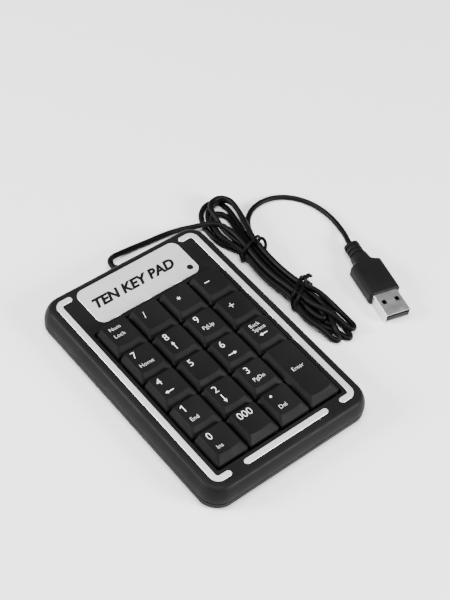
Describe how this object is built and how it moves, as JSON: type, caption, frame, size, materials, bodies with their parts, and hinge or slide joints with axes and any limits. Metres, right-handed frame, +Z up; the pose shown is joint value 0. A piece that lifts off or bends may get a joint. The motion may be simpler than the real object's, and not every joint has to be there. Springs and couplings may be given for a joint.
{
  "type": "numeric keypad",
  "caption": "Flat rectangular USB numeric keypad with sprung keys in a sunken well, silver trim strips, a name plate and a tied hank of cord with its plug.",
  "frame": {"origin": "centre of the keypad housing's footprint, on the surface its rubber feet stand on", "axes": "+X to the right, +Y towards the back where the cord leaves, +Z up out of the key tops"},
  "size_m": [0.1449, 0.1301, 0.0154],
  "materials": {
    "housing_black": "fine satin texture",
    "key_black": "satin",
    "silver_trim": "fine metallic lacquer",
    "lamp_lens": "frosted",
    "foot_rubber": "matte",
    "screw_steel": "zinc plated",
    "spring_steel": "drawn wire",
    "dome_rubber": "translucent silicone",
    "film": "clear polyester",
    "board_green": "solder mask",
    "chip_black": "cast epoxy",
    "component": "mixed small parts",
    "connector_white": "nylon",
    "wire": "insulated wire",
    "cord_black": "satin jacket",
    "tie_black": "coated wire",
    "grip_black": "satin moulding",
    "plug_steel": "nickel plated",
    "tongue_black": "moulded",
    "contact_gold": "gold plated"
  },
  "bodies": {
    "housing": {"top_housing": "housing_black", "bottom_housing": "housing_black", "name_plate": "silver_trim", "trim_left": "silver_trim", "trim_right": "silver_trim", "trim_front": "silver_trim", "num_lock_lens": "lamp_lens", "rubber_feet": "foot_rubber", "housing_screws": "screw_steel", "rubber_domes": "dome_rubber", "membrane_upper_film": "film", "membrane_spacer": "film", "membrane_lower_film": "film", "controller_board": "board_green", "controller_chip": "chip_black", "board_components": "component", "cord_connector": "connector_white", "board_screws": "screw_steel", "cord_gland": "cord_black", "cord_inner_end": "cord_black", "cord_wires": "wire", "cord_tube_back": "cord_black", "cord_hank": "cord_black", "cord_tube_free": "cord_black", "twist_tie_upper": "tie_black", "twist_tie_lower": "tie_black", "usb_grip": "grip_black", "usb_shell": "plug_steel", "usb_tongue": "tongue_black", "usb_contacts": "contact_gold"},
    "key_num_lock": {"key_num_lock": "key_black"},
    "key_divide": {"key_divide": "key_black"},
    "key_multiply": {"key_multiply": "key_black"},
    "key_minus": {"key_minus": "key_black"},
    "key_7": {"key_7": "key_black"},
    "key_8": {"key_8": "key_black"},
    "key_9": {"key_9": "key_black"},
    "key_plus": {"key_plus": "key_black"},
    "key_4": {"key_4": "key_black"},
    "key_5": {"key_5": "key_black"},
    "key_6": {"key_6": "key_black"},
    "key_backspace": {"key_backspace": "key_black"},
    "key_1": {"key_1": "key_black"},
    "key_2": {"key_2": "key_black"},
    "key_3": {"key_3": "key_black"},
    "key_enter": {"key_enter": "key_black"},
    "key_0": {"key_0": "key_black"},
    "key_000": {"key_000": "key_black"},
    "key_decimal": {"key_decimal": "key_black"},
    "stabilizer_bar": {"stabilizer_bar": "spring_steel"}
  },
  "joints": [
    {"name": "press_num_lock", "type": "slide", "parent": "housing", "child": "key_num_lock", "axis": [0, 0, -1], "range_m": [0, 0.0022], "stiffness_N_per_m": 150, "springref_m": -0.0015, "deforming": ["rubber_domes"]},
    {"name": "press_divide", "type": "slide", "parent": "housing", "child": "key_divide", "axis": [0, 0, -1], "range_m": [0, 0.0022], "stiffness_N_per_m": 150, "springref_m": -0.0015, "deforming": ["rubber_domes"]},
    {"name": "press_multiply", "type": "slide", "parent": "housing", "child": "key_multiply", "axis": [0, 0, -1], "range_m": [0, 0.0022], "stiffness_N_per_m": 150, "springref_m": -0.0015, "deforming": ["rubber_domes"]},
    {"name": "press_minus", "type": "slide", "parent": "housing", "child": "key_minus", "axis": [0, 0, -1], "range_m": [0, 0.0022], "stiffness_N_per_m": 150, "springref_m": -0.0015, "deforming": ["rubber_domes"]},
    {"name": "press_7", "type": "slide", "parent": "housing", "child": "key_7", "axis": [0, 0, -1], "range_m": [0, 0.0022], "stiffness_N_per_m": 150, "springref_m": -0.0015, "deforming": ["rubber_domes"]},
    {"name": "press_8", "type": "slide", "parent": "housing", "child": "key_8", "axis": [0, 0, -1], "range_m": [0, 0.0022], "stiffness_N_per_m": 150, "springref_m": -0.0015, "deforming": ["rubber_domes"]},
    {"name": "press_9", "type": "slide", "parent": "housing", "child": "key_9", "axis": [0, 0, -1], "range_m": [0, 0.0022], "stiffness_N_per_m": 150, "springref_m": -0.0015, "deforming": ["rubber_domes"]},
    {"name": "press_plus", "type": "slide", "parent": "housing", "child": "key_plus", "axis": [0, 0, -1], "range_m": [0, 0.0022], "stiffness_N_per_m": 150, "springref_m": -0.0015, "deforming": ["rubber_domes"]},
    {"name": "press_4", "type": "slide", "parent": "housing", "child": "key_4", "axis": [0, 0, -1], "range_m": [0, 0.0022], "stiffness_N_per_m": 150, "springref_m": -0.0015, "deforming": ["rubber_domes"]},
    {"name": "press_5", "type": "slide", "parent": "housing", "child": "key_5", "axis": [0, 0, -1], "range_m": [0, 0.0022], "stiffness_N_per_m": 150, "springref_m": -0.0015, "deforming": ["rubber_domes"]},
    {"name": "press_6", "type": "slide", "parent": "housing", "child": "key_6", "axis": [0, 0, -1], "range_m": [0, 0.0022], "stiffness_N_per_m": 150, "springref_m": -0.0015, "deforming": ["rubber_domes"]},
    {"name": "press_backspace", "type": "slide", "parent": "housing", "child": "key_backspace", "axis": [0, 0, -1], "range_m": [0, 0.0022], "stiffness_N_per_m": 150, "springref_m": -0.0015, "deforming": ["rubber_domes"]},
    {"name": "press_1", "type": "slide", "parent": "housing", "child": "key_1", "axis": [0, 0, -1], "range_m": [0, 0.0022], "stiffness_N_per_m": 150, "springref_m": -0.0015, "deforming": ["rubber_domes"]},
    {"name": "press_2", "type": "slide", "parent": "housing", "child": "key_2", "axis": [0, 0, -1], "range_m": [0, 0.0022], "stiffness_N_per_m": 150, "springref_m": -0.0015, "deforming": ["rubber_domes"]},
    {"name": "press_3", "type": "slide", "parent": "housing", "child": "key_3", "axis": [0, 0, -1], "range_m": [0, 0.0022], "stiffness_N_per_m": 150, "springref_m": -0.0015, "deforming": ["rubber_domes"]},
    {"name": "press_enter", "type": "slide", "parent": "housing", "child": "key_enter", "axis": [0, 0, -1], "range_m": [0, 0.0022], "stiffness_N_per_m": 150, "springref_m": -0.0015, "deforming": ["rubber_domes"]},
    {"name": "press_0", "type": "slide", "parent": "housing", "child": "key_0", "axis": [0, 0, -1], "range_m": [0, 0.0022], "stiffness_N_per_m": 150, "springref_m": -0.0015, "deforming": ["rubber_domes"]},
    {"name": "press_000", "type": "slide", "parent": "housing", "child": "key_000", "axis": [0, 0, -1], "range_m": [0, 0.0022], "stiffness_N_per_m": 150, "springref_m": -0.0015, "deforming": ["rubber_domes"]},
    {"name": "press_decimal", "type": "slide", "parent": "housing", "child": "key_decimal", "axis": [0, 0, -1], "range_m": [0, 0.0022], "stiffness_N_per_m": 150, "springref_m": -0.0015, "deforming": ["rubber_domes"]},
    {"name": "stabilizer_turn", "type": "hinge", "parent": "housing", "child": "stabilizer_bar", "pos_m": [0.0195, -0.0324, 0.0103], "axis": [0, 1, 0], "range_deg": [0, 18.2]}
  ],
  "couplings": [
    {"joint": "stabilizer_turn", "follows": "press_enter", "rad_per_m": 143.8}
  ]
}
